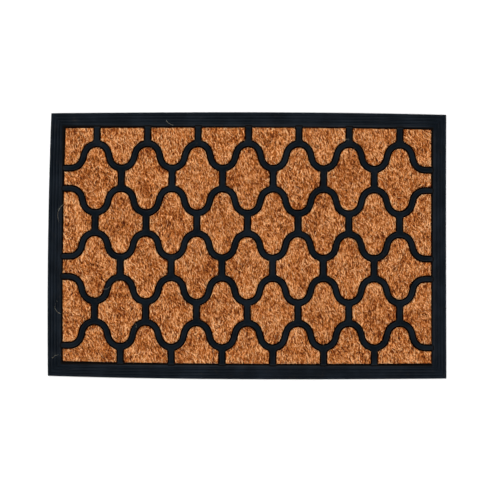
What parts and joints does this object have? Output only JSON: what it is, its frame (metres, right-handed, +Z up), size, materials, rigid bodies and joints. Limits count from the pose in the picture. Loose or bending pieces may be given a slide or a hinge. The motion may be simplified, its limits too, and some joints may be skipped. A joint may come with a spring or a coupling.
{
  "type": "door mat",
  "caption": "Rectangular coir door mat with a ribbed rubber border and a moulded rubber grid of waves and short bars that holds the coir pads.",
  "frame": {"origin": "middle of the underside, on the floor", "axes": "+X along the mat's length, +Y across it towards the back edge, +Z up"},
  "size_m": [0.6, 0.4, 0.0092],
  "materials": {
    "rubber": "matt moulded rubber, near black",
    "grid_rubber": "satin moulded rubber, near black",
    "coir": "matted natural coconut fibre, orange brown"
  },
  "bodies": {
    "root": {"rubber_backing": "rubber", "border_frame": "rubber", "rubber_grid": "grid_rubber", "coir_pad_r1_c1": "coir", "coir_pad_r1_c2": "coir", "coir_pad_r1_c3": "coir", "coir_pad_r1_c4": "coir", "coir_pad_r1_c5": "coir", "coir_pad_r1_c6": "coir", "coir_pad_r1_c7": "coir", "coir_pad_r1_c8": "coir", "coir_pad_r2_c1": "coir", "coir_pad_r2_c2": "coir", "coir_pad_r2_c3": "coir", "coir_pad_r2_c4": "coir", "coir_pad_r2_c5": "coir", "coir_pad_r2_c6": "coir", "coir_pad_r2_c7": "coir", "coir_pad_r3_c1": "coir", "coir_pad_r3_c2": "coir", "coir_pad_r3_c3": "coir", "coir_pad_r3_c4": "coir", "coir_pad_r3_c5": "coir", "coir_pad_r3_c6": "coir", "coir_pad_r3_c7": "coir", "coir_pad_r3_c8": "coir", "coir_pad_r4_c1": "coir", "coir_pad_r4_c2": "coir", "coir_pad_r4_c3": "coir", "coir_pad_r4_c4": "coir", "coir_pad_r4_c5": "coir", "coir_pad_r4_c6": "coir", "coir_pad_r4_c7": "coir", "coir_pad_r5_c1": "coir", "coir_pad_r5_c2": "coir", "coir_pad_r5_c3": "coir", "coir_pad_r5_c4": "coir", "coir_pad_r5_c5": "coir", "coir_pad_r5_c6": "coir", "coir_pad_r5_c7": "coir", "coir_pad_r5_c8": "coir", "coir_pad_r6_c1": "coir", "coir_pad_r6_c2": "coir", "coir_pad_r6_c3": "coir", "coir_pad_r6_c4": "coir", "coir_pad_r6_c5": "coir", "coir_pad_r6_c6": "coir", "coir_pad_r6_c7": "coir"}
  },
  "joints": []
}
